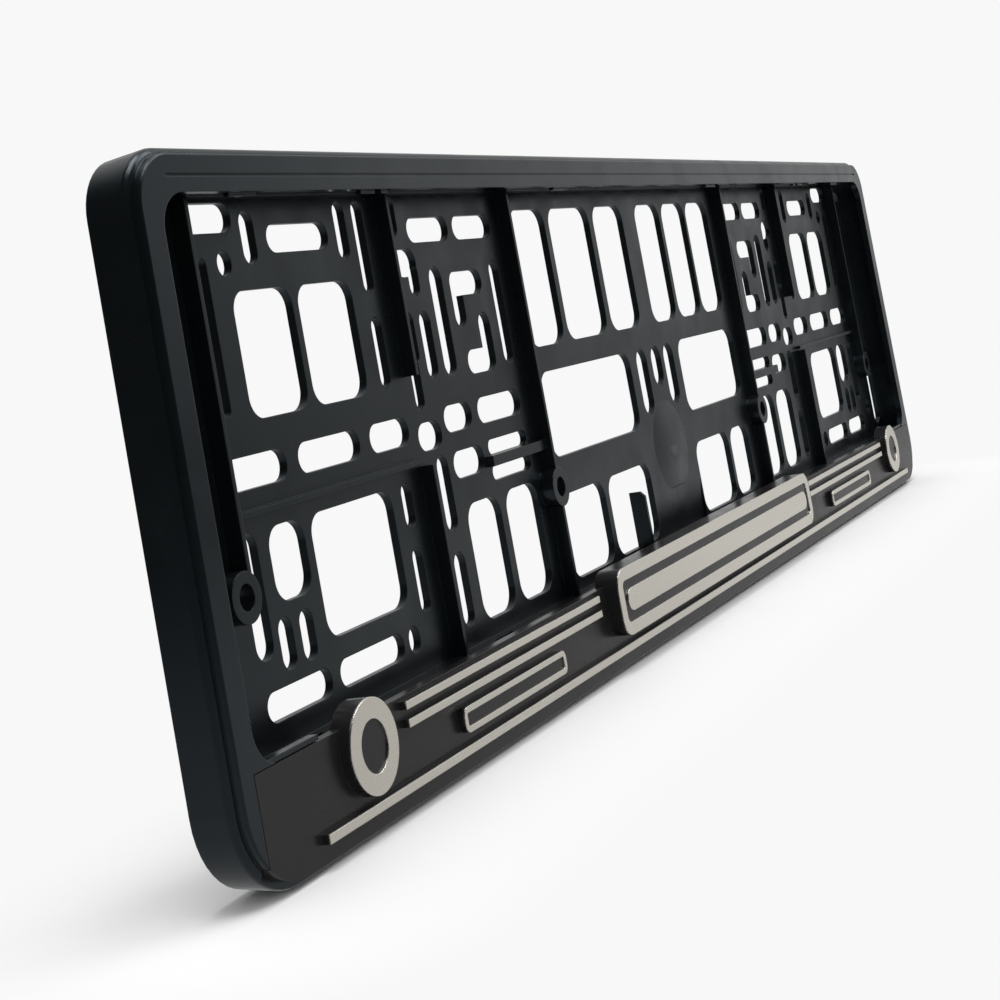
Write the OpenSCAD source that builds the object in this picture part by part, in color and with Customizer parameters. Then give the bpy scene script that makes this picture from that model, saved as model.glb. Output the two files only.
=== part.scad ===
// Number plate holder for a 520 x 110 mm plate, in millimetres.
// X runs along the holder, Z is up, and the front looks towards -Y.
// The origin is the middle of the rear face, which lies on the bumper in the plane Y = 0.
// Shapes are drawn as seen from the front and raised towards the front, then stood upright.

/* [Overall] */
// Length of the holder
frame_w = 530; // [520:1:560]
// Height of the holder
frame_h = 136; // [134:1:142]
// Height of the lip's front face above the rear plane
lip_front = 12.4; // [11.6:0.1:14]
// Outer radius of the two upper corners
top_corner_r = 12; // [10:0.5:20]
// Outer radius of the two lower corners
low_corner_r = 17.5; // [12:0.5:22]

/* [Rim] */
// Thickness of the rim's upright wall
wall_t = 3; // [2.4:0.1:3.6]
// Gap between the rim's rear edge and the bumper
wall_lift = 1.1; // [0.4:0.1:1.2]
// How much narrower the wall is at its rear edge, on each side
wall_draft = 0.6; // [0.2:0.1:1.6]
// Step from the wall in to the raised front face
face_inset = 1.5; // [1:0.1:2]
// Height of the raised front face above the rounded shoulder
face_rise = 1.7; // [1:0.1:2]
// Thickness of the lip that holds the plate
lip_t = 2.2; // [1.8:0.1:2.6]
// Reach of the side lips, from the outer edge
side_lip = 7.6; // [6.5:0.1:9]
// Reach of the top lip, from the outer edge
top_lip = 8.8; // [7.5:0.1:10]
// Corner radius of the opening
opening_r = 7.5; // [4:0.5:10]
// Distance of the fine groove below the holder's top edge
groove_drop = 5.6; // [5:0.1:6.4]
// Width of the fine groove
groove_w = 0.5; // [0.4:0.1:1]
// Depth of the fine groove
groove_depth = 0.4; // [0.2:0.1:0.8]

/* [Floor] */
// Thickness of the slotted floor
floor_t = 1.8; // [1.4:0.1:2.4]
// Thickness of the ribs
rib_t = 1.2; // [0.8:0.1:2]
// Height of the tall ribs above the floor
rib_h = 3.4; // [2.4:0.1:4.2]
// Height of the low ribs above the floor
low_rib_h = 2; // [1.2:0.1:2.4]
// Thickness of the bar that splits the inner panels' level window
split_bar_h = 2.6; // [2:0.1:3.4]
// Width of the long slits behind the side lips
slit_w = 9; // [4:0.5:10]
// Height of the two end ribs above the floor
end_rib_h = 3.9; // [2.6:0.1:4.4]
// Distance of the end ribs from the middle
end_rib_x = 239.2; // [238.4:0.1:240.4]
// Distance of the ribs between the outer and inner panels from the middle
panel_rib_x = 157; // [156.2:0.1:157.6]
// Distance of the centre panel's ribs from the middle
centre_rib_x = 89.8; // [88.4:0.1:91.2]

/* [Screw bosses] */
// Distance of the end bosses from the middle
end_boss_x = 241.5; // [241:0.1:242.4]
// Height of the end bosses, from the middle
end_boss_z = -16.4; // [-18:0.1:-14]
// Distance of the inner bosses from the middle
inner_boss_x = 90.2; // [89.6:0.1:90.8]
// Height of the inner bosses, from the middle
inner_boss_z = -18.2; // [-20:0.1:-16]
// Outer diameter of a boss
boss_d = 10; // [8.6:0.1:10.6]
// Bore of a boss
boss_bore = 5.2; // [4:0.1:6]

/* [Dome] */
// Diameter of the shallow dome on the floor
dome_d = 28; // [24:0.5:30]
// Rise of the shallow dome above the floor
dome_rise = 0.9; // [0.4:0.1:1.4]
// Distance of the dome to the right of the middle
dome_x = 5.4; // [4:0.1:7]
// Height of the dome, from the middle
dome_z = -19.5; // [-20:0.1:-19]

/* [Lower strip] */
// Thickness of the strip's face
strip_t = 2.4; // [1.8:0.1:2.8]
// Distance of the strip's top edge below the middle
strip_top = 45; // [44:0.1:46]
// Distance of the strip's ends from the holder's ends
strip_end = 6; // [5:0.1:7]
// Gap between the strip and the rim around it
strip_gap = 0.2; // [0.1:0.05:0.3]
// Height of the black lands below the stripes and the small frames
land_h = 1.4; // [0.8:0.1:2.4]
// Height of the black lands below the end badges
end_land_h = 2.1; // [1.2:0.1:3]
// Height of the black land below the centre badge
badge_land_h = 3.6; // [2:0.1:4.4]
// Thickness of the bright facings on the lands
facing_t = 0.4; // [0.2:0.1:0.8]
// Number of snap hooks along the strip
hooks = 6; // [4:1:8]

/* [Bright facings] */
// Half length of the centre badge
badge_half = 90.7; // [86:0.1:94]
// Height of the centre badge
badge_h = 17; // [14:0.5:18]
// Height of the middle of the centre badge, from the middle
badge_z = -50; // [-50.5:0.1:-49.5]
// Width of the centre badge's bright frame
badge_line = 3.2; // [2:0.1:4]
// Thickness of an upper stripe
stripe_h = 1.6; // [1.2:0.1:2]
// Distance between the two upper stripes' middles
stripe_pitch = 3.6; // [3.2:0.1:4]
// Height of the thick stripe along the bottom
low_stripe_h = 1.8; // [1.4:0.1:2.6]
// Half length of the stripe along the bottom
low_stripe_half = 241; // [230:1:244]
// Length of a small label frame
label_w = 56; // [50:1:60]
// Height of a small label frame
label_h = 5.4; // [4.4:0.1:6]
// Diameter of an end badge
end_badge_d = 18.6; // [16:0.2:19]
// Gap between the centre badge and the upper stripes beside it
badge_gap = 7.7; // [5:0.1:9]
// Gap between an end badge and the upper stripes beside it
end_badge_gap = 6.7; // [4:0.1:8]
// Distance of an end badge's middle from the holder's end
end_badge_in = 44.4; // [42:0.1:46]

/* [Hidden] */
$fn = 48;
eps = 0.01;

// Colours as the photo shows them
black_plastic = [0.14, 0.16, 0.165];
strip_plastic = [0.18, 0.175, 0.18];
bright_metal = [0.67, 0.65, 0.61];

// Heights above the rear plane
strip_back = lip_front - strip_t;
shoulder_z = lip_front - face_rise;

// Length and height of the holder for which the places of the slots, ribs and bosses are written
drawn_size = [530, 136];

// The strip keeps its height when the holder's height changes, so its top edge moves
strip_line = strip_top + (frame_h - drawn_size[1]) / 2;
rise = (frame_h / 2 + strip_line) / (drawn_size[1] / 2 + strip_top);
function along(x) = x * frame_w / drawn_size[0];
function above(z) = (z + strip_top) * rise - strip_line;

// Edges of the opening in front of the plate
opening_x = frame_w / 2 - side_lip;
opening_top = frame_h / 2 - top_lip;
shelf_t = 1.6;
shelf_top = -(strip_line + shelf_t);
strip_half = frame_w / 2 - strip_end;

// Slits in the floor below the side lips, where the mould's cores stood
slit_outer = frame_w / 2 - wall_t - 0.5;
slit_bridge = 3.4;

// Rows of slots in the floor: heights shared by the slots of a row
top_row = [48.1, 54.1];
window_row = [15.3, 41];
middle_row = [2.4, 8.8];
bottom_row = [-41.8, -36];
tall_row = [-42.7, -15];
centre_top_row = [18, 55];
centre_window_row = [-11.6, 11.2];
centre_low_row = [-43.6, -21.4];

// Raises a front view drawing from one height above the rear plane to another
module raise(from, to) {
    rotate([90, 0, 0])
        translate([0, 0, from])
            linear_extrude(to - from)
                children();
}

// Draws its children on the right and mirrored on the left
module both_sides() {
    children();
    mirror([1, 0, 0]) children();
}

// A rectangle with rounded corners between two corners
module window(x, z, r) {
    translate([x[0] + r, z[0]]) square([x[1] - x[0] - 2 * r, z[1] - z[0]]);
    translate([x[0], z[0] + r]) square([x[1] - x[0], z[1] - z[0] - 2 * r]);
    for (i = [x[0] + r, x[1] - r], j = [z[0] + r, z[1] - r])
        translate([i, j]) circle(r);
}

// A slot with full round ends that fills a box
module slot(x, z) {
    w = x[1] - x[0];
    h = z[1] - z[0];
    r = min(w, h) / 2;
    if (w > h) {
        translate([x[0] + r, z[0]]) square([w - 2 * r, h]);
        for (i = [x[0] + r, x[1] - r]) translate([i, z[0] + r]) circle(r);
    } else {
        translate([x[0], z[0] + r]) square([w, h - 2 * r]);
        for (j = [z[0] + r, z[1] - r]) translate([x[0] + r, j]) circle(r);
    }
}

// The holder's outline drawn in by a distance, with its own radii above and below
module outline(inset) {
    x = frame_w / 2 - inset;
    z = frame_h / 2 - inset;
    rt = top_corner_r - inset;
    rb = low_corner_r - inset;
    translate([-x, rb - z]) square([2 * x, 2 * z - rt - rb]);
    translate([rt - x, z - rt]) square([2 * (x - rt), rt]);
    translate([rb - x, -z]) square([2 * (x - rb), rb]);
    for (s = [-1, 1]) {
        translate([s * (x - rt), z - rt]) circle(rt);
        translate([s * (x - rb), rb - z]) circle(rb);
    }
}

// Section of the rim's wall: distance in from the outer edge, and height above the rear
module wall_section() {
    edge = 0.35;
    polygon([
        [wall_draft, wall_lift],
        [0, shoulder_z - 1.5],
        [0.12, shoulder_z - 0.95],
        [0.45, shoulder_z - 0.45],
        [0.95, shoulder_z - 0.1],
        [face_inset, shoulder_z],
        [face_inset, lip_front - edge],
        [face_inset + 0.1, lip_front - 0.1],
        [face_inset + edge, lip_front],
        [wall_t, lip_front],
        [wall_t + 0.3, wall_lift]
    ]);
}

// A quarter turn of the wall about a corner's centre
module wall_corner(x, z, r, turn) {
    translate([x, 0, z])
        rotate([90, 0, 0])
            rotate([0, 0, turn])
                rotate_extrude(angle = 90, $fn = 96)
                    translate([r, 0]) mirror([1, 0, 0]) wall_section();
}

// A straight run of the wall, its length centred on a point, with its outside turned to an angle
module wall_run(x, z, length, turn) {
    translate([x, 0, z])
        rotate([90, 0, 0])
            rotate([0, 0, turn])
                translate([0, length / 2, 0])
                    rotate([90, 0, 0])
                        linear_extrude(length)
                            mirror([1, 0, 0]) wall_section();
}

module rim_wall() {
    x = frame_w / 2;
    z = frame_h / 2;
    rt = top_corner_r;
    rb = low_corner_r;
    side = frame_h - rt - rb;
    wall_corner(x - rt, z - rt, rt, 0);
    wall_corner(rt - x, z - rt, rt, 90);
    wall_corner(rb - x, rb - z, rb, 180);
    wall_corner(x - rb, rb - z, rb, 270);
    wall_run(x, (rb - rt) / 2, side, 0);
    wall_run(0, z, frame_w - 2 * rt, 90);
    wall_run(-x, (rb - rt) / 2, side, 180);
    wall_run(0, -z, frame_w - 2 * rb, 270);
}

// The lip around the opening and beside the strip's ends, and the tab at each lower corner
module lip() {
    tab = 14;
    tab_h = 1.2;
    raise(lip_front - lip_t, lip_front)
        difference() {
            outline(wall_t - 0.6);
            window([-opening_x, opening_x], [-strip_line, opening_top], opening_r);
        }
    both_sides()
        raise(strip_back, lip_front - 0.3)
            translate([opening_x - opening_r - tab, shelf_top])
                square([tab + opening_r, tab_h + shelf_t]);
}

// The part of the lower beam that carries the strip
module shelf() {
    raise(0, strip_back)
        translate([-(opening_x - 1), shelf_top - shelf_t])
            square([2 * (opening_x - 1), shelf_t]);
}

// A slot and a window of the floor, which follow the holder's length and height
module floor_slot(x, z) {
    slot([along(x[0]), along(x[1])], [above(z[0]), above(z[1])]);
}

module floor_window(x, z, r) {
    window([along(x[0]), along(x[1])], [above(z[0]), above(z[1])], r);
}

// The half of a level window below (-1) or above (1) the bar across its middle
module split_slot(x, z, side) {
    middle = above((z[0] + z[1]) / 2) + side * split_bar_h / 2;
    end = above(side < 0 ? z[0] : z[1]);
    slot([along(x[0]), along(x[1])], [min(middle, end), max(middle, end)]);
}

module outer_panel_slots() {
    floor_slot([180.8, 206.1], top_row);
    floor_slot([218.5, 237.5], [52.8, 58.8]);
    floor_window([174.8, 198.1], window_row, 4.5);
    floor_window([200.4, 223], window_row, 4.5);
    floor_slot([159.8, 178.1], middle_row);
    floor_slot([182.8, 208.7], middle_row);
    floor_slot([213.4, 235.5], middle_row);
    floor_window([173.3, 208.7], [-31.3, -5.8], 4.5);
    floor_window([211.5, 225.1], [-20.7, -5.7], 4.5);
    floor_slot([179, 207], bottom_row);
    floor_slot([210.5, 235.2], bottom_row);
    floor_slot([171.5, 176.5], bottom_row);
    for (z = [[37.5, 58.5], [16, 32], [-15.5, -5.5], [-34.5, -20]])
        floor_slot([163.8, 168.5], z);
    floor_slot([172, 177], [45.5, 58.5]);
    floor_slot([210.5, 215.7], [46, 57]);
    floor_slot([221, 226], [44, 49.2]);
    floor_slot([230, 232.8], [17, 48]);
    floor_slot([229.4, 235.6], [-30, -5.5]);
    floor_slot([221.8, 227], [-33.5, -23.3]);
    floor_slot([213.8, 219], [-33.5, -23.3]);
    floor_slot([241.8, 248.5], [-36.5, -30.5]);
}

module inner_panel_slots() {
    floor_slot([121.3, 143.1], top_row);
    floor_slot([96.5, 118.5], top_row);
    floor_slot([147.8, 151.8], [50, 59]);
    floor_slot([141.5, 152], [40.2, 46.8]);
    floor_slot([141.5, 146.5], [35.5, 44]);
    floor_slot([148, 152.4], [20, 32]);
    floor_slot([149.4, 153.8], [9.4, 23]);
    floor_slot([139.5, 145], [15.8, 31.8]);
    floor_slot([129.5, 136], [15.5, 42]);
    floor_slot([96.2, 101.8], [15.5, 42]);
    floor_slot([107.5, 125.5], [34.3, 40.3]);
    floor_slot([119.5, 125.5], [26.5, 40.3]);
    floor_slot([107, 123], [14.8, 20.7]);
    floor_slot([107, 113.4], [14.8, 29.5]);
    floor_slot([126.4, 141.3], middle_row);
    floor_slot([97.5, 122.7], middle_row);
    floor_slot([143.8, 155.6], [-0.2, 6.3]);
    floor_slot([123.7, 140.5], [-8.7, -2.2]);
    for (side = [-1, 1])
        split_slot([97.5, 120.5], [-11.8, -1.8], side);
    floor_window([119.8, 138.3], tall_row, 5);
    floor_window([97, 116.4], tall_row, 5);
    floor_slot([143.5, 149.3], [-19.8, -2]);
    floor_slot([143.5, 149.3], [-41.8, -24.6]);
}

module centre_panel_slots() {
    for (x = [[-83.5, -60.6], [-57.6, -27.8], [-24.4, -0.5], [10.8, 32.7], [35.2, 57.2], [58.8, 80.8]])
        floor_window(x, centre_top_row, 5);
    floor_window([-82.5, -16], centre_window_row, 5);
    floor_window([27.4, 83.5], centre_window_row, 5);
    floor_slot([-10.4, -1.8], [-8.6, 11.2]);
    floor_slot([2.3, 10.6], [-1, 11.2]);
    floor_slot([13.4, 22], [-7.6, 11.2]);
    for (x = [[-82.5, -52.8], [-49.8, -16.2], [26.6, 59.4], [61.6, 80.6]])
        floor_window(x, centre_low_row, 5);
}

module floor_slits() {
    x = [slit_outer - slit_w, slit_outer];
    slot(x, [above(end_boss_z) + slit_bridge / 2, above(57)]);
    slot(x, [above(-42.5), above(end_boss_z) - slit_bridge / 2]);
}

// The flat sheet with all its slots
module slotted_floor() {
    raise(0, floor_t)
        difference() {
            outline(wall_t - 0.8);
            both_sides() {
                outer_panel_slots();
                inner_panel_slots();
                floor_slits();
            }
            centre_panel_slots();
        }
}

// A block that stands on the floor, and ribs given by their middle line and their two ends
module floor_block(x, z, height) {
    raise(floor_t - 0.4, floor_t + height)
        translate([x[0], z[0]]) square([x[1] - x[0], z[1] - z[0]]);
}

module upright_rib(x, z, height) {
    floor_block([x - rib_t / 2, x + rib_t / 2], z, height);
}

module level_rib(x, z, height) {
    floor_block(x, [z - rib_t / 2, z + rib_t / 2], height);
}

// The pocket where a blade goes in to release the plate: a wall across the window on its left,
// and a ramp that sinks into the floor towards the shelf
pocket_top = -31.6;
pocket_wall_x = -30.4;
pocket_wall_top = -28.3;
pocket_wall_h = 4.6;
pocket_wall_corner = 1.4;
ramp_x = [-15.6, 26];
ramp_depth = 1;

module release_wall() {
    top = above(pocket_wall_top);
    translate([along(pocket_wall_x) - rib_t / 2, 0, 0])
        rotate([90, 0, 90])
            linear_extrude(rib_t)
                polygon([
                    [0, shelf_top - shelf_t / 2],
                    [0, top],
                    [pocket_wall_corner - pocket_wall_h, top],
                    [-pocket_wall_h, top - pocket_wall_corner],
                    [-pocket_wall_h, shelf_top - shelf_t / 2]
                ]);
}

module release_ramp() {
    translate([along(ramp_x[0]), 0, 0])
        rotate([90, 0, 90])
            linear_extrude(along(ramp_x[1] - ramp_x[0]))
                polygon([
                    [-floor_t, above(pocket_top)],
                    [-floor_t - 1, above(pocket_top)],
                    [-floor_t - 1, shelf_top],
                    [ramp_depth - floor_t, shelf_top]
                ]);
}

module ribs() {
    top_rib_z = opening_top + 1.6;
    below = shelf_top - shelf_t / 2;
    end_x = along(end_rib_x);
    panel_x = along(panel_rib_x);
    centre_x = along(centre_rib_x);
    bar_z = above(-6.8);
    both_sides() {
        upright_rib(end_x, [above(end_boss_z), top_rib_z], end_rib_h);
        upright_rib(panel_x, [above(17.5), top_rib_z], rib_h);
        upright_rib(panel_x, [below, above(-3)], rib_h);
        upright_rib(centre_x, [below, top_rib_z], rib_h);
        level_rib([panel_x, end_x], above(-2), low_rib_h - 0.4);
        floor_block([centre_x, along(123)], [bar_z - split_bar_h / 2, bar_z + split_bar_h / 2], low_rib_h);
    }
    level_rib([-end_x - rib_t / 2, end_x + rib_t / 2], top_rib_z, rib_h);
    release_wall();
}

boss_places = [
    [along(end_boss_x), above(end_boss_z)],
    [along(inner_boss_x), above(inner_boss_z)]
];

module bosses() {
    for (p = boss_places)
        both_sides()
            raise(0, floor_t + end_rib_h)
                translate(p) circle(d = boss_d);
}

module boss_bores() {
    for (p = boss_places)
        both_sides()
            raise(-1, lip_front)
                translate(p) circle(d = boss_bore);
}

// The shallow dome below the middle, a cap of a large ball that grows out of the floor
module dome() {
    ball_r = (dome_d * dome_d / 4 + dome_rise * dome_rise) / (2 * dome_rise);
    middle = [along(dome_x), above(dome_z)];
    root = 0.6;
    intersection() {
        rotate([90, 0, 0])
            translate([middle[0], middle[1], floor_t + dome_rise - ball_r])
                sphere(ball_r, $fn = 180);
        raise(floor_t - root / 2, floor_t + dome_rise + 1)
            translate(middle) circle(d = dome_d + root);
    }
}

// Small pads below the top lip that press on the plate's edge
module plate_pads() {
    for (x = [[221, 231], [171.5, 178], [165.5, 168.5], [60, 70]])
        both_sides()
            raise(lip_front - lip_t - 1.2, lip_front - lip_t)
                translate([along(x[0]), opening_top - 0.6])
                    square([x[1] - x[0], frame_h / 2 - wall_t - opening_top + 0.6]);
}

// The fine line along the top lip
module lip_groove() {
    z = frame_h / 2 - groove_drop;
    raise(lip_front - groove_depth, lip_front + 1)
        translate([-(opening_x - 3), z - groove_w / 2]) square([2 * (opening_x - 3), groove_w]);
}

// Windows in the shelf that the strip's hooks snap into
function hook_x(i) = (i - (hooks - 1) / 2) * (2 * opening_x - 60) / (hooks - 1);
hook_w = 10;
hook_t = 1.5;
hook_gap = 0.3;
barb_top = 6.4;
barb_h = 2.2;

module hook_windows() {
    for (i = [0 : hooks - 1])
        raise(barb_top - barb_h - hook_gap, barb_top + hook_gap)
            translate([hook_x(i) - hook_w / 2 - hook_gap, shelf_top - shelf_t - eps])
                square([hook_w + 2 * hook_gap, shelf_t + 2 * eps]);
}

// Front view of the strip's face, without the badges that stand above it
module strip_face(gap) {
    intersection() {
        outline(face_inset - (gap > 0 ? 5 : 0));
        translate([-strip_half - gap, -frame_h])
            square([2 * (strip_half + gap), frame_h - strip_line + gap]);
    }
}

module base_frame() {
    color(black_plastic)
        difference() {
            union() {
                rim_wall();
                lip();
                slotted_floor();
                shelf();
                ribs();
                bosses();
                dome();
                plate_pads();
            }
            raise(strip_back, lip_front + 1) strip_face(strip_gap);
            boss_bores();
            lip_groove();
            hook_windows();
            release_ramp();
        }
}

// Front views of the bright facings, which the black lands below them share
badge_line_z = badge_z + strip_top - strip_line;
end_badge_x = frame_w / 2 - end_badge_in;
end_badge_z = -(strip_line + 5.4);
upper_stripe_x = [badge_half + badge_gap, end_badge_x - end_badge_d / 2 - end_badge_gap];
upper_stripe_z = -(strip_line + 1.6);
label_gap = 2.3;
label_x = (upper_stripe_x[0] + upper_stripe_x[1]) / 2 + 1.3;
label_z = upper_stripe_z - stripe_pitch - stripe_h / 2 - label_gap - label_h / 2;
low_stripe_x = low_stripe_half + (frame_w - drawn_size[0]) / 2;
low_stripe_z = 6 - frame_h / 2;

module upper_stripe(side, row) {
    z = upper_stripe_z - (row - 1) * stripe_pitch;
    a = side * upper_stripe_x[0];
    b = side * upper_stripe_x[1];
    translate([min(a, b), z - stripe_h / 2]) square([abs(b - a), stripe_h]);
}

module bottom_stripe_view() {
    translate([-low_stripe_x, low_stripe_z - low_stripe_h / 2])
        square([2 * low_stripe_x, low_stripe_h]);
}

module badge_view(inset) {
    z = [badge_line_z - badge_h / 2 + inset, badge_line_z + badge_h / 2 - inset];
    window([inset - badge_half, badge_half - inset], z, 5 - min(inset, 3.4));
}

module badge_bar_view() {
    inset = badge_line + 2.4;
    z = [badge_line_z - badge_h / 2 + inset, badge_line_z + badge_h / 2 - inset];
    slot([inset - badge_half, badge_half - inset], z);
}

module label_view(side, inset) {
    x = side * label_x;
    window([x - label_w / 2 + inset, x + label_w / 2 - inset],
           [label_z - label_h / 2 + inset, label_z + label_h / 2 - inset], 1.8 - inset);
}

module end_badge_view(side) {
    translate([side * end_badge_x, end_badge_z])
        difference() {
            circle(d = end_badge_d);
            circle(d = end_badge_d * 0.56);
        }
}

// A bright facing on a land of the given height
module facing(land) {
    color(bright_metal) raise(lip_front + land, lip_front + land + facing_t) children();
}

// The strip: its face, the lands that stand on it, and the hooks behind it
module strip_hooks() {
    y0 = shelf_top - shelf_t - hook_gap;
    for (i = [0 : hooks - 1])
        translate([hook_x(i) - hook_w / 2, 0, 0])
            rotate([90, 0, 90])
                linear_extrude(hook_w)
                    polygon([
                        [-strip_back - eps, y0],
                        [-barb_top, y0],
                        [-barb_top, y0 + hook_gap + 1.1],
                        [-(barb_top - 0.7), y0 + hook_gap + 1.1],
                        [-(barb_top - barb_h), y0],
                        [-(barb_top - barb_h), y0 - hook_t],
                        [-strip_back - eps, y0 - hook_t]
                    ]);
}

module lower_strip() {
    color(strip_plastic) {
        raise(strip_back, lip_front) strip_face(0);
        raise(strip_back, lip_front + badge_land_h) badge_view(0);
        for (s = [-1, 1]) {
            raise(strip_back, lip_front + end_land_h)
                translate([s * end_badge_x, end_badge_z]) circle(d = end_badge_d);
            raise(lip_front - eps, lip_front + land_h) label_view(s, 0);
            for (row = [1, 2])
                raise(lip_front - eps, lip_front + land_h) upper_stripe(s, row);
        }
        raise(lip_front - eps, lip_front + land_h) bottom_stripe_view();
        strip_hooks();
    }
}

module bottom_stripe() {
    facing(land_h) bottom_stripe_view();
}

module upper_stripe_facing(side, row) {
    facing(land_h) upper_stripe(side, row);
}

module centre_badge_frame() {
    facing(badge_land_h) difference() {
        badge_view(0);
        badge_view(badge_line);
    }
}

module centre_badge_bar() {
    facing(badge_land_h) badge_bar_view();
}

module label_frame(side) {
    facing(land_h) difference() {
        label_view(side, 0);
        label_view(side, 1.3);
    }
}

module end_badge(side) {
    facing(end_land_h) end_badge_view(side);
}

base_frame();
lower_strip();
bottom_stripe();
upper_stripe_facing(-1, 1);  // upper_stripe_left_1
upper_stripe_facing(-1, 2);  // upper_stripe_left_2
upper_stripe_facing(1, 1);  // upper_stripe_right_1
upper_stripe_facing(1, 2);  // upper_stripe_right_2
centre_badge_frame();
centre_badge_bar();
label_frame(-1);  // label_frame_left
label_frame(1);  // label_frame_right
end_badge(-1);  // end_badge_left
end_badge(1);  // end_badge_right
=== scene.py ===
import math

import bpy
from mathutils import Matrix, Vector


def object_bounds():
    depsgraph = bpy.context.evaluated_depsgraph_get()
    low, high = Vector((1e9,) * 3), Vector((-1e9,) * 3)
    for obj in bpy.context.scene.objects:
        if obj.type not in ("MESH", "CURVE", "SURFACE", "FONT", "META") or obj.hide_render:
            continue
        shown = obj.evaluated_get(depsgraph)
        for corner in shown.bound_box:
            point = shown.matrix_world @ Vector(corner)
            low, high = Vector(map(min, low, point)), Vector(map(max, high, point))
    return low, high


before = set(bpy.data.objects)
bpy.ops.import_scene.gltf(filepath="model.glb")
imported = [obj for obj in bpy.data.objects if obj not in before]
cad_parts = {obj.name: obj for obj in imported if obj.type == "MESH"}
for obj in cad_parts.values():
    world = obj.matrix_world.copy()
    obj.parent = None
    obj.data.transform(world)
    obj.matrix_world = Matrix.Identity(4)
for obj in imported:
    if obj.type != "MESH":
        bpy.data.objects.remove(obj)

cad_low, cad_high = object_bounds()
scene = bpy.context.scene
scene.view_settings.view_transform = "Standard"

# The base frame is one flat injection moulding of black satin plastic: a rounded rim with a lip
# round the plate's place, and a sheet full of fixing slots stiffened by thin ribs. The mould was
# spark eroded and its rim polished, so the floor is a little duller, and every edge is slightly round.
MM = 0.001
BASE_BLACK = (0.0030, 0.0040, 0.0048, 1.0)
# The second black is the flow marks' paler tone, and also a painted highlight along the sharp edges.
BASE_BLACK_FLOW_AND_HIGHLIGHT = (0.0095, 0.0115, 0.0125, 1.0)
BASE_ROUGHNESS = (0.17, 0.28)
FLOOR_ROUGHNESS = (0.26, 0.38)
FLOOR_REACH = (257 * MM, 8 * MM, 59 * MM)
POLISH_BLEND = 0.5 * MM
BASE_SPECULAR = 0.44
BASE_SHEEN_TINT = (0.72, 0.90, 1.0, 1.0)
BASE_EDGE_RADIUS = 0.35 * MM
BASE_GRAIN_SIZE = 0.35 * MM
BASE_GRAIN_HEIGHT = 0.006 * MM
FLOW_MARK_SIZE = 60 * MM
FLOW_MARK_SHARE = 0.35
GLOSS_PATCHES_PER_MARK = 4.3
BEVEL_SAMPLES = 4
PLASTIC_EDGE_SHARPNESS = 2.5


def number_input(group, name, value):
    socket = group.interface.new_socket(name=name, in_out="INPUT", socket_type="NodeSocketFloat")
    socket.default_value = value


def math_node(nodes, links, operation, first, second):
    node = nodes.new("ShaderNodeMath")
    node.operation = operation
    for place, value in enumerate((first, second)):
        if isinstance(value, (int, float)):
            node.inputs[place].default_value = value
        else:
            links.new(value, node.inputs[place])
    return node.outputs[0]


def vector_node(nodes, links, operation, first, second=None):
    node = nodes.new("ShaderNodeVectorMath")
    node.operation = operation
    links.new(first, node.inputs[0])
    if second is not None:
        node.inputs[1].default_value = second
    return node


def noise_node(nodes, links, coordinates, scale, detail):
    node = nodes.new("ShaderNodeTexNoise")
    node.inputs["Detail"].default_value = detail
    links.new(coordinates, node.inputs["Vector"])
    if isinstance(scale, (int, float)):
        node.inputs["Scale"].default_value = scale
    else:
        links.new(scale, node.inputs["Scale"])
    return node.outputs["Fac"]


def make_moulded_grain():
    """The fine spark-eroded grain and broad flow marks of a moulding, as a height and two masks."""
    group = bpy.data.node_groups.new("moulded_grain", "ShaderNodeTree")
    number_input(group, "Grain Size", BASE_GRAIN_SIZE)
    number_input(group, "Flow Size", FLOW_MARK_SIZE)
    for name in ("Height", "Flow", "Gloss Patches"):
        group.interface.new_socket(name=name, in_out="OUTPUT", socket_type="NodeSocketFloat")
    nodes, links = group.nodes, group.links
    given = nodes.new("NodeGroupInput")
    result = nodes.new("NodeGroupOutput")
    place = nodes.new("ShaderNodeTexCoord").outputs["Object"]
    grain_scale = math_node(nodes, links, "DIVIDE", 1.0, given.outputs["Grain Size"])
    flow_scale = math_node(nodes, links, "DIVIDE", 1.0, given.outputs["Flow Size"])
    patch_scale = math_node(nodes, links, "MULTIPLY", flow_scale, GLOSS_PATCHES_PER_MARK)
    links.new(noise_node(nodes, links, place, grain_scale, detail=2.0), result.inputs["Height"])
    links.new(noise_node(nodes, links, place, flow_scale, detail=3.0), result.inputs["Flow"])
    links.new(noise_node(nodes, links, place, patch_scale, detail=4.0), result.inputs["Gloss Patches"])
    return group


def make_edge_rounding():
    """A mask of the sharp edges of a piece, from the difference between its face and rounded normals; it
    places the painted edge highlights.
    """
    group = bpy.data.node_groups.new("edge_rounding", "ShaderNodeTree")
    group.interface.new_socket(name="Rounded Normal", in_out="INPUT", socket_type="NodeSocketVector")
    number_input(group, "Sharpness", PLASTIC_EDGE_SHARPNESS)
    group.interface.new_socket(name="Edge", in_out="OUTPUT", socket_type="NodeSocketFloat")
    nodes, links = group.nodes, group.links
    given = nodes.new("NodeGroupInput")
    result = nodes.new("NodeGroupOutput")
    face = nodes.new("ShaderNodeNewGeometry")
    turn = nodes.new("ShaderNodeVectorMath")
    turn.operation = "DOT_PRODUCT"
    links.new(given.outputs["Rounded Normal"], turn.inputs[0])
    links.new(face.outputs["Normal"], turn.inputs[1])
    bend = math_node(nodes, links, "SUBTRACT", 1.0, turn.outputs["Value"])
    edge = math_node(nodes, links, "MULTIPLY", bend, given.outputs["Sharpness"])
    links.new(math_node(nodes, links, "MINIMUM", edge, 1.0), result.inputs["Edge"])
    return group


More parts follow.
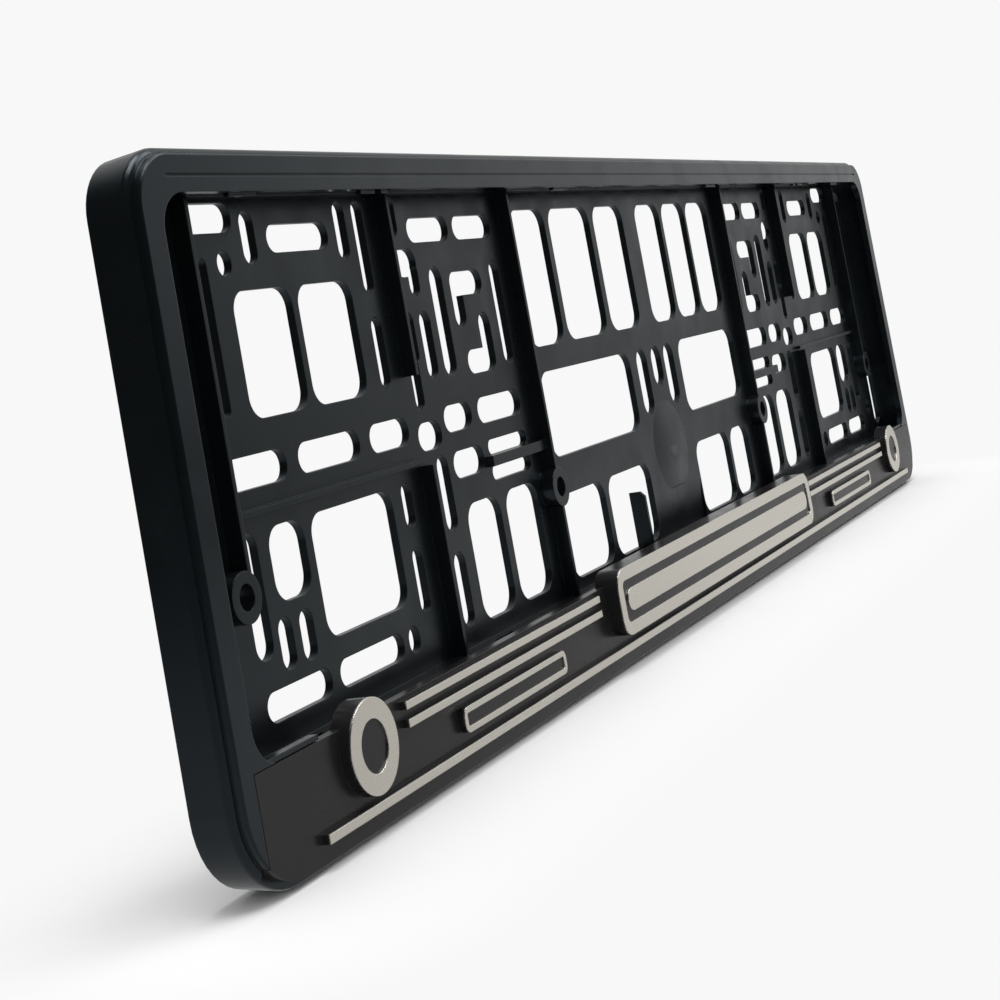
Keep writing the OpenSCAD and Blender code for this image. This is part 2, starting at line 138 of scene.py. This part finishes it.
def spread_node(nodes, links, value, low, high, start=0.35, end=0.65):
    node = nodes.new("ShaderNodeMapRange")
    links.new(value, node.inputs["Value"])
    node.inputs["From Min"].default_value = start
    node.inputs["From Max"].default_value = end
    node.inputs["To Min"].default_value = low
    node.inputs["To Max"].default_value = high
    return node.outputs["Result"]


def make_rim_polish():
    """A mask of the polished rim and lip: all that lies past FLOOR_REACH from the rear face's middle."""
    group = bpy.data.node_groups.new("rim_polish", "ShaderNodeTree")
    number_input(group, "Blend", POLISH_BLEND)
    group.interface.new_socket(name="Polished", in_out="OUTPUT", socket_type="NodeSocketFloat")
    nodes, links = group.nodes, group.links
    given = nodes.new("NodeGroupInput")
    result = nodes.new("NodeGroupOutput")
    place = nodes.new("ShaderNodeTexCoord").outputs["Object"]
    outwards = vector_node(nodes, links, "ABSOLUTE", place).outputs["Vector"]
    past = vector_node(nodes, links, "SUBTRACT", outwards, FLOOR_REACH).outputs["Vector"]
    split = nodes.new("ShaderNodeSeparateXYZ")
    links.new(past, split.inputs["Vector"])
    sides = math_node(nodes, links, "MAXIMUM", split.outputs["X"], split.outputs["Z"])
    farthest = math_node(nodes, links, "MAXIMUM", sides, split.outputs["Y"])
    share = math_node(nodes, links, "DIVIDE", farthest, given.outputs["Blend"])
    polished = spread_node(nodes, links, share, 0.0, 1.0, start=-1.0, end=1.0)
    links.new(polished, result.inputs["Polished"])
    return group


moulded_grain = make_moulded_grain()
edge_rounding = make_edge_rounding()
rim_polish = make_rim_polish()


def new_material(name):
    material = bpy.data.materials.new(name)
    material.use_nodes = True
    return material, material.node_tree.nodes, material.node_tree.links


def place_group(nodes, group, **values):
    node = nodes.new("ShaderNodeGroup")
    node.node_tree = group
    for name, value in values.items():
        node.inputs[name.replace("_", " ")].default_value = value
    return node


def ramp_node(nodes, links, factor, low, high):
    node = nodes.new("ShaderNodeMix")
    node.data_type = "RGBA"
    links.new(factor, node.inputs["Factor"])
    for socket, colour in zip([s for s in node.inputs if s.type == "RGBA"], (low, high)):
        socket.default_value = colour
    return [s for s in node.outputs if s.type == "RGBA"][0]


def grain_bump(nodes, links, height, distance, normal):
    node = nodes.new("ShaderNodeBump")
    node.inputs["Distance"].default_value = distance
    links.new(height, node.inputs["Height"])
    links.new(normal, node.inputs["Normal"])
    return node.outputs["Normal"]


def choose(nodes, links, switch, when_on, when_off):
    node = nodes.new("ShaderNodeMix")
    links.new(switch, node.inputs["Factor"])
    for socket, value in zip([s for s in node.inputs if s.type == "VALUE"][1:], (when_off, when_on)):
        if isinstance(value, (int, float)):
            socket.default_value = value
        else:
            links.new(value, socket)
    return [s for s in node.outputs if s.type == "VALUE"][0]


def moulded_plastic(name, colour, flow_and_highlight, roughness, specular, tint, grain, edge_radius, dull=None):
    """Satin moulded plastic: grain in the height, flow marks in the gloss, rounded edges paled as a
    painted highlight.

    Where dull is given, what lies inside the rim has that roughness.
    """
    material, nodes, links = new_material(name)
    shader = nodes["Principled BSDF"]
    shader.inputs["Specular IOR Level"].default_value = specular
    shader.inputs["Specular Tint"].default_value = tint
    marks = place_group(nodes, moulded_grain, Grain_Size=grain[0], Flow_Size=FLOW_MARK_SIZE)
    rounding = nodes.new("ShaderNodeBevel")
    rounding.samples = BEVEL_SAMPLES
    rounding.inputs["Radius"].default_value = edge_radius
    edges = place_group(nodes, edge_rounding, Sharpness=PLASTIC_EDGE_SHARPNESS)
    links.new(rounding.outputs["Normal"], edges.inputs["Rounded Normal"])
    cloud = math_node(nodes, links, "MULTIPLY", marks.outputs["Flow"], FLOW_MARK_SHARE)
    # Paler colour: the flow marks' own tone, and a painted highlight along the sharp edges.
    flow_tone_and_edge_highlight = math_node(nodes, links, "MAXIMUM", edges.outputs["Edge"], cloud)
    links.new(ramp_node(nodes, links, flow_tone_and_edge_highlight, colour, flow_and_highlight), shader.inputs["Base Color"])
    gloss = spread_node(nodes, links, marks.outputs["Gloss Patches"], *roughness)
    if dull:
        dull_gloss = spread_node(nodes, links, marks.outputs["Gloss Patches"], *dull)
        finish = place_group(nodes, rim_polish, Blend=POLISH_BLEND)
        gloss = choose(nodes, links, finish.outputs["Polished"], gloss, dull_gloss)
    links.new(gloss, shader.inputs["Roughness"])
    surface = grain_bump(nodes, links, marks.outputs["Height"], grain[1], rounding.outputs["Normal"])
    links.new(surface, shader.inputs["Normal"])
    return material


def dress(name, material):
    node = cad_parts[name]
    node.data.materials.clear()
    node.data.materials.append(material)


base_plastic = moulded_plastic(
    "base_plastic", BASE_BLACK, BASE_BLACK_FLOW_AND_HIGHLIGHT, BASE_ROUGHNESS, BASE_SPECULAR, BASE_SHEEN_TINT,
    (BASE_GRAIN_SIZE, BASE_GRAIN_HEIGHT), BASE_EDGE_RADIUS, FLOOR_ROUGHNESS)
dress("base_frame", base_plastic)

# The lower strip is a second black moulding that clips into the lower shelf. Its plastic is a
# little warmer and smoother than the base frame's, and it carries raised lands for the trim.
STRIP_BLACK = (0.0110, 0.0102, 0.0104, 1.0)
# The second black is the flow marks' paler tone, and also a painted highlight along the sharp edges.
STRIP_BLACK_FLOW_AND_HIGHLIGHT = (0.021, 0.020, 0.020, 1.0)
STRIP_ROUGHNESS = (0.22, 0.30)
STRIP_SPECULAR = 0.30
STRIP_SHEEN_TINT = (1.0, 0.97, 0.97, 1.0)
STRIP_EDGE_RADIUS = 0.25 * MM
STRIP_GRAIN_SIZE = 0.5 * MM
STRIP_GRAIN_HEIGHT = 0.003 * MM

strip_plastic = moulded_plastic(
    "strip_plastic", STRIP_BLACK, STRIP_BLACK_FLOW_AND_HIGHLIGHT, STRIP_ROUGHNESS, STRIP_SPECULAR, STRIP_SHEEN_TINT,
    (STRIP_GRAIN_SIZE, STRIP_GRAIN_HEIGHT), STRIP_EDGE_RADIUS)
dress("lower_strip", strip_plastic)

# The bright facings are thin, satin, nickel-coloured metal faces bonded on the strip's lands. Their
# faces are finely brushed along the holder, and their cut edges are painted a paler nickel as a glint.
NICKEL = (0.92, 0.88, 0.79, 1.0)
NICKEL_EDGE_GLINT = (0.97, 0.95, 0.90, 1.0)
NICKEL_ROUGHNESS = (0.25, 0.29)
NICKEL_EDGE_RADIUS = 0.3 * MM
NICKEL_EDGE_SHARPNESS = 3.0
BRUSH_WIDTH = 0.12 * MM
BRUSH_STRETCH = 0.015
STREAKS_PER_LINE = 0.2
BRUSH_DEPTH = 0.0001 * MM


def make_brushed_lines():
    """Fine lines along the holder's length, as a height and as a mask of paler and darker streaks."""
    group = bpy.data.node_groups.new("brushed_lines", "ShaderNodeTree")
    number_input(group, "Line Width", BRUSH_WIDTH)
    for name in ("Height", "Streaks"):
        group.interface.new_socket(name=name, in_out="OUTPUT", socket_type="NodeSocketFloat")
    nodes, links = group.nodes, group.links
    given = nodes.new("NodeGroupInput")
    result = nodes.new("NodeGroupOutput")
    place = nodes.new("ShaderNodeTexCoord").outputs["Object"]
    stretch = nodes.new("ShaderNodeMapping")
    stretch.inputs["Scale"].default_value = (BRUSH_STRETCH, 1.0, 1.0)
    links.new(place, stretch.inputs["Vector"])
    scale = math_node(nodes, links, "DIVIDE", 1.0, given.outputs["Line Width"])
    broad = math_node(nodes, links, "MULTIPLY", scale, STREAKS_PER_LINE)
    along = stretch.outputs["Vector"]
    links.new(noise_node(nodes, links, along, scale, detail=2.0), result.inputs["Height"])
    links.new(noise_node(nodes, links, along, broad, detail=3.0), result.inputs["Streaks"])
    return group


brushed_lines = make_brushed_lines()


def satin_nickel(name):
    material, nodes, links = new_material(name)
    shader = nodes["Principled BSDF"]
    shader.inputs["Metallic"].default_value = 1.0
    lines = place_group(nodes, brushed_lines, Line_Width=BRUSH_WIDTH)
    rounding = nodes.new("ShaderNodeBevel")
    rounding.samples = BEVEL_SAMPLES
    rounding.inputs["Radius"].default_value = NICKEL_EDGE_RADIUS
    edges = place_group(nodes, edge_rounding, Sharpness=NICKEL_EDGE_SHARPNESS)
    links.new(rounding.outputs["Normal"], edges.inputs["Rounded Normal"])
    # The edges are painted a paler nickel: a painted glint.
    colour = ramp_node(nodes, links, edges.outputs["Edge"], NICKEL, NICKEL_EDGE_GLINT)
    links.new(colour, shader.inputs["Base Color"])
    gloss = spread_node(nodes, links, lines.outputs["Streaks"], *NICKEL_ROUGHNESS)
    links.new(gloss, shader.inputs["Roughness"])
    surface = grain_bump(nodes, links, lines.outputs["Height"], BRUSH_DEPTH, rounding.outputs["Normal"])
    links.new(surface, shader.inputs["Normal"])
    return material


bright_facing = satin_nickel("bright_facing")
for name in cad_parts:
    if name not in ("base_frame", "lower_strip"):
        dress(name, bright_facing)

# The studio round the holder is white behind it and grows darker round to the left, so the
# holder's front mirrors a half-lit room and its left faces a dark one. The world and the table
# share this falling light, so that no horizon shows in what the holder mirrors.
BACKDROP_TOWARDS = (0.865, 0.356, 0.356)
ROOM_WHITE = 0.64
ROOM_DARK = 0.020
ROOM_TURN = (0.05, 0.64)
ROOM_FALL = 1.8


def make_room_light():
    """How bright the studio is in a direction, from the backdrop down to the dark side."""
    group = bpy.data.node_groups.new("room_light", "ShaderNodeTree")
    group.interface.new_socket(name="Direction", in_out="INPUT", socket_type="NodeSocketVector")
    group.interface.new_socket(name="Brightness", in_out="OUTPUT", socket_type="NodeSocketFloat")
    nodes, links = group.nodes, group.links
    given = nodes.new("NodeGroupInput")
    result = nodes.new("NodeGroupOutput")
    unit = vector_node(nodes, links, "NORMALIZE", given.outputs["Direction"])
    towards = vector_node(nodes, links, "DOT_PRODUCT", unit.outputs["Vector"], BACKDROP_TOWARDS)
    turned = spread_node(nodes, links, towards.outputs["Value"], 0.0, 1.0, *ROOM_TURN)
    turned = math_node(nodes, links, "POWER", turned, ROOM_FALL)
    brightness = spread_node(nodes, links, turned, ROOM_DARK, ROOM_WHITE, start=0.0, end=1.0)
    links.new(brightness, result.inputs["Brightness"])
    return group


room_light = make_room_light()

# The holder stands on its long lower edge on a plain white table, whose far parts run into the
# backdrop. Next to the holder the table is an ordinary matt surface that takes its shadow, and
# within a hand's breadth of its footprint the table turns into the backdrop's white.
BACKDROP_WHITE = 0.94
TABLE_WHITE = (0.92, 0.92, 0.925, 1.0)
TABLE_ROUGHNESS = 0.8
TABLE_SIDE = 24.0
FOOTPRINT = (265 * MM, 16 * MM, 1.0)
SHADOW_REACH = 0.05
TABLE_NEAR = (0.10, 0.60)
TABLE_MIRRORED = (-1.10, 0.10)
TABLE_MIRRORED_WHITE = 0.58
TABLE_FAR_SHARE = 0.6


def mirrored_ray(nodes, links, path):
    rays = path.outputs["Is Glossy Ray"], path.outputs["Is Transmission Ray"]
    return math_node(nodes, links, "MAXIMUM", *rays)


def make_table():
    half = TABLE_SIDE / 2
    height = cad_low.z
    corners = [(x * half, y * half, height) for x, y in ((-1, -1), (1, -1), (1, 1), (-1, 1))]
    mesh = bpy.data.meshes.new("table")
    mesh.from_pydata(corners, [], [(0, 1, 2, 3)])
    table = bpy.data.objects.new("table", mesh)
    scene.collection.objects.link(table)
    material, nodes, links = new_material("table_white")
    shader = nodes["Principled BSDF"]
    shader.inputs["Base Color"].default_value = TABLE_WHITE
    shader.inputs["Roughness"].default_value = TABLE_ROUGHNESS
    place = nodes.new("ShaderNodeTexCoord").outputs["Object"]
    away = place
    for operation, second in (("ABSOLUTE", None), ("SUBTRACT", FOOTPRINT), ("MAXIMUM", (0.0, 0.0, 0.0))):
        away = vector_node(nodes, links, operation, away, second).outputs["Vector"]
    away = vector_node(nodes, links, "LENGTH", away).outputs["Value"]
    far = spread_node(nodes, links, away, 0.0, 1.0, *TABLE_NEAR)
    plain = spread_node(nodes, links, away, 0.0, 1.0, start=0.0, end=SHADOW_REACH)
    room = place_group(nodes, room_light)
    links.new(place, room.inputs["Direction"])
    ahead = vector_node(nodes, links, "DOT_PRODUCT", place, BACKDROP_TOWARDS).outputs["Value"]
    near = spread_node(nodes, links, ahead, ROOM_DARK, TABLE_MIRRORED_WHITE, *TABLE_MIRRORED)
    distant = math_node(nodes, links, "MULTIPLY", room.outputs["Brightness"], TABLE_FAR_SHARE)
    room_here = choose(nodes, links, far, distant, near)
    path = nodes.new("ShaderNodeLightPath")
    mirrored = mirrored_ray(nodes, links, path)
    glow = nodes.new("ShaderNodeEmission")
    bright = choose(nodes, links, path.outputs["Is Camera Ray"], BACKDROP_WHITE, room_here)
    links.new(bright, glow.inputs["Color"])
    mix = nodes.new("ShaderNodeMixShader")
    links.new(choose(nodes, links, path.outputs["Is Camera Ray"], plain, mirrored), mix.inputs["Fac"])
    links.new(shader.outputs["BSDF"], mix.inputs[1])
    links.new(glow.outputs["Emission"], mix.inputs[2])
    links.new(mix.outputs["Shader"], nodes["Material Output"].inputs["Surface"])
    mesh.materials.append(material)
    return table


make_table()

# The backdrop is plain white to the camera all round, and gives matt surfaces an even light.
# Glossy surfaces mirror the falling light of the studio instead.
EVEN_LIGHT = 0.60

world = bpy.data.worlds.new("white_backdrop")
scene.world = world
world.use_nodes = True
sky_nodes, sky_links = world.node_tree.nodes, world.node_tree.links
sky = sky_nodes["Background"]
sky.inputs["Strength"].default_value = 1.0
sky_room = place_group(sky_nodes, room_light)
sky_links.new(sky_nodes.new("ShaderNodeTexCoord").outputs["Generated"], sky_room.inputs["Direction"])
sky_path = sky_nodes.new("ShaderNodeLightPath")
mirrored = mirrored_ray(sky_nodes, sky_links, sky_path)
seen = choose(sky_nodes, sky_links, mirrored, sky_room.outputs["Brightness"], EVEN_LIGHT)
seen = choose(sky_nodes, sky_links, sky_path.outputs["Is Camera Ray"], BACKDROP_WHITE, seen)
sky_links.new(seen, sky.inputs["Color"])

# Soft boxes as in a small photo studio: a key light in front above on the right, and a stronger
# one nearly straight above. Both point at the holder's middle.
KEY = {"place": (0.55, -0.75, 0.85), "size": 0.7, "power": 5.0}
OVERHEAD = {"place": (-0.20, -0.15, 1.1), "size": 0.7, "power": 7.5}


def soft_box(name, place, size, power):
    light = bpy.data.lights.new(name, "AREA")
    light.size = size
    light.energy = power
    lamp = bpy.data.objects.new(name, light)
    lamp.location = place
    lamp.rotation_euler = (-Vector(place)).to_track_quat("-Z", "Y").to_euler()
    scene.collection.objects.link(lamp)


soft_box("key_light", **KEY)
soft_box("overhead_light", **OVERHEAD)

# The camera stands close to the holder's left end, a little above its middle, and looks along it.
# Its sideways shift is small, so that the holder stays in the picture from other sides too.
CAMERA_PLACE = (-0.5429, -0.2055, 0.0236)
CAMERA_TURN = (93.182, 10.302, -64.602)
CAMERA_LENS = 68.73
CAMERA_SENSOR = 36.0
CAMERA_CLOSEST = 10 * MM
CAMERA_SHIFT = (0.02, -0.27)

camera_data = bpy.data.cameras.new("camera")
camera_data.lens = CAMERA_LENS
camera_data.sensor_width = CAMERA_SENSOR
camera_data.shift_x, camera_data.shift_y = CAMERA_SHIFT
camera_data.clip_start = CAMERA_CLOSEST
camera = bpy.data.objects.new("camera", camera_data)
camera.location = CAMERA_PLACE
camera.rotation_euler = tuple(math.radians(angle) for angle in CAMERA_TURN)
scene.collection.objects.link(camera)
scene.camera = camera
